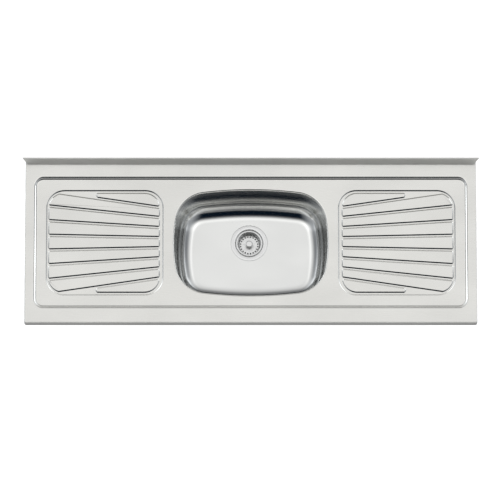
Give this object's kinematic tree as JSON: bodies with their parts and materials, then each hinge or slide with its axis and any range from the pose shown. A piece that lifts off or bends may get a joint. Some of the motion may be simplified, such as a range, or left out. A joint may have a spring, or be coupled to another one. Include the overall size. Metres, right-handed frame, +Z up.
{
  "type": "kitchen sink",
  "caption": "Lay-on stainless steel kitchen sink with a central bowl, a fan-grooved drainer on each side, a low upstand and a lift-out basket strainer with pull-up stopper.",
  "frame": {"origin": "middle of the rear batten's underside, where the sink lies on the cabinet's back rail", "axes": "+X to the right along the front, +Y towards the wall, +Z up"},
  "size_m": [1.4192, 0.52, 0.3708],
  "materials": {
    "stainless_sheet": "satin brushed",
    "stainless_waste": "polished",
    "knob_metal": "polished",
    "chipboard": "sealed edges",
    "galvanised_steel": "zinc coated",
    "bitumen": "matt",
    "black_rubber": "matt",
    "card": "pressed fibre",
    "grey_plastic": "moulded",
    "chrome_brass": "plated"
  },
  "bodies": {
    "sink": {"sink_top": "stainless_sheet", "bowl": "stainless_sheet", "front_batten": "chipboard", "rear_batten": "chipboard", "left_end_batten": "chipboard", "right_end_batten": "chipboard", "left_cross_batten": "chipboard", "right_cross_batten": "chipboard", "left_stiffener": "galvanised_steel", "right_stiffener": "galvanised_steel", "left_drainer_pad": "bitumen", "right_drainer_pad": "bitumen", "left_bowl_pad": "bitumen", "right_bowl_pad": "bitumen", "drain_body": "stainless_waste", "flange_gasket": "black_rubber", "under_gasket": "black_rubber", "friction_washer": "card", "lock_nut": "grey_plastic", "tailpiece": "chrome_brass", "tailpiece_washer": "black_rubber", "coupling_nut": "grey_plastic"},
    "basket": {"basket_cup": "stainless_waste", "basket_sleeve": "stainless_waste"},
    "plunger": {"stopper_knob": "knob_metal", "stopper_stem": "stainless_waste", "stopper_seal": "black_rubber", "seal_washer": "stainless_waste", "stem_nut": "stainless_waste"}
  },
  "joints": [
    {"name": "basket_lift", "type": "slide", "parent": "sink", "child": "basket", "axis": [0, 0, 1], "range_m": [0, 0.09]},
    {"name": "stopper_lift", "type": "slide", "parent": "basket", "child": "plunger", "axis": [0, 0, 1], "range_m": [0, 0.01]}
  ]
}
